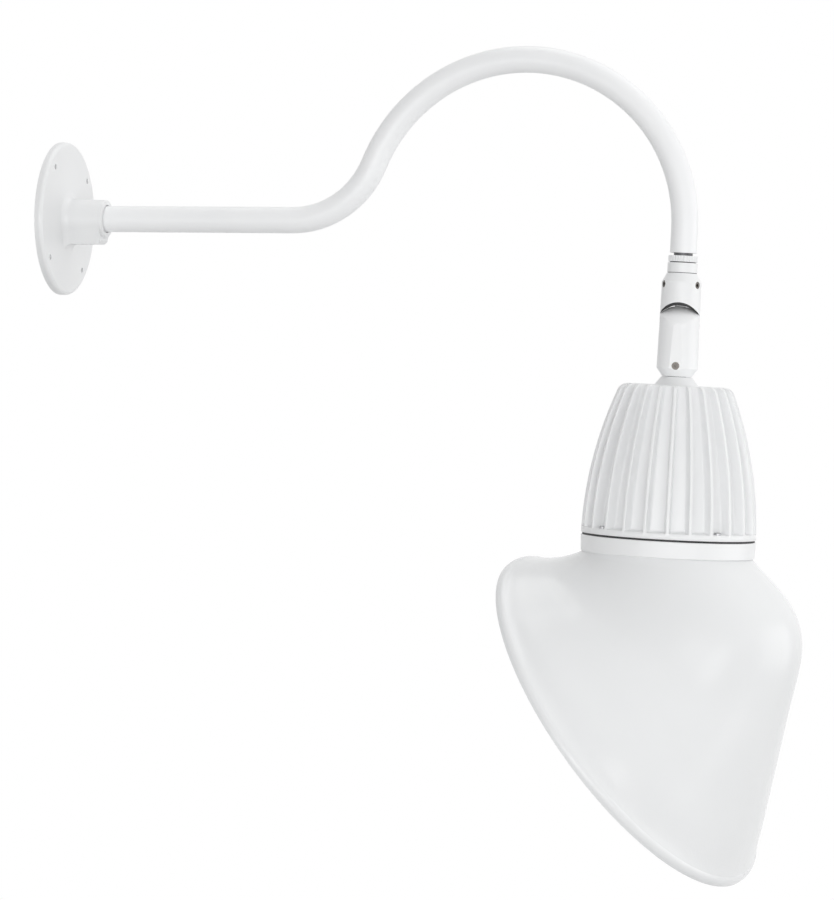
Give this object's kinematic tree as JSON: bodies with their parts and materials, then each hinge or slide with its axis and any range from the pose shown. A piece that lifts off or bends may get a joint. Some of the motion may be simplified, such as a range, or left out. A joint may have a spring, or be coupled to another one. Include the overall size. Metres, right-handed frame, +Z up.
{
  "type": "wall sconce",
  "caption": "White gooseneck wall sconce: round wall plate, bent pipe arm, locking swivel, finned lamp head and an angled shade that opens towards the wall.",
  "frame": {"origin": "centre of the wall plate's back face, on the hub's axis", "axes": "+X out of the wall, +Z up, and the picture was taken from the -Y side"},
  "size_m": [0.7817, 0.3864, 0.8278],
  "materials": {
    "powder_coat": "satin white powder coat on a casting",
    "shade_enamel": "semi-gloss white powder coat on spun sheet",
    "plate_enamel": "glossier white powder coat on a casting",
    "arm_paint": "satin white powder coat on steel pipe",
    "ring_finish": "satin white on a knurled ring",
    "foam": "closed-cell foam",
    "black_rubber": "matte black silicone",
    "nylon": "natural nylon",
    "green_screw": "green zinc plate",
    "dark_steel": "black oxide",
    "screw_steel": "plain stainless",
    "thread_steel": "dark zinc plate",
    "black_wire": "wire insulation",
    "white_wire": "wire insulation",
    "green_wire": "wire insulation",
    "red_wire": "wire insulation",
    "bare_aluminium": "mill finish",
    "driver_case": "potted plastic case",
    "grey_pad": "soft thermal pad",
    "board_white": "white solder mask",
    "phosphor": "yellow phosphor",
    "reflector_film": "white reflector",
    "lens_glass": "clear tempered glass"
  },
  "bodies": {
    "arm": {"wall_plate": "plate_enamel", "wall_gasket": "foam", "ground_screw": "green_screw", "hub_set_screw": "dark_steel", "arm_tube": "arm_paint", "arm_end_insert": "thread_steel", "arm_nipple": "thread_steel", "line_wire": "black_wire", "neutral_wire": "white_wire", "ground_wire": "green_wire"},
    "lock_ring": {"lock_ring": "ring_finish"},
    "swivel": {"seal_washer": "black_rubber", "swivel_collar": "powder_coat", "collar_gasket": "black_rubber", "swivel_upper": "powder_coat", "arch_seal": "black_rubber", "swivel_set_screws": "dark_steel"},
    "barrel": {"swivel_barrel": "powder_coat", "pivot_screw": "arm_paint", "pivot_nut": "arm_paint", "friction_washers": "nylon", "barrel_set_screw": "dark_steel"},
    "head": {"stem_nipple": "thread_steel", "heat_sink": "powder_coat", "led_carrier": "bare_aluminium", "carrier_screws": "screw_steel", "thermal_pad": "grey_pad", "led_board": "board_white", "led_emitters": "phosphor", "board_screws": "screw_steel", "led_leads": "red_wire", "driver_bracket": "bare_aluminium", "driver": "driver_case", "head_wires": "white_wire", "reflector": "reflector_film", "lens_ring": "powder_coat", "sink_gasket": "black_rubber", "lens_gasket": "black_rubber", "lens": "lens_glass", "lens_clip": "screw_steel", "ring_screws": "screw_steel", "shade": "shade_enamel", "shade_screws": "screw_steel"}
  },
  "joints": [
    {"name": "lock_ring_turn", "type": "hinge", "parent": "arm", "child": "lock_ring", "pos_m": [0.65538, 0, -0.02998], "axis": [0.0349, 0, 0.9994], "continuous": true},
    {"name": "swivel_pan", "type": "hinge", "parent": "arm", "child": "swivel", "pos_m": [0.65538, 0, -0.02998], "axis": [0.0349, 0, 0.9994], "range_deg": [-179, 179]},
    {"name": "knuckle_tilt", "type": "hinge", "parent": "swivel", "child": "barrel", "pos_m": [0.65287, 0, -0.10194], "axis": [0.9904, 0.134, -0.0346], "range_deg": [-1.1, 88.9]},
    {"name": "head_turn", "type": "hinge", "parent": "barrel", "child": "head", "pos_m": [0.64504, 0.00398, -0.31075], "axis": [0.0375, -0.019, 0.9991], "range_deg": [-179, 179]}
  ]
}
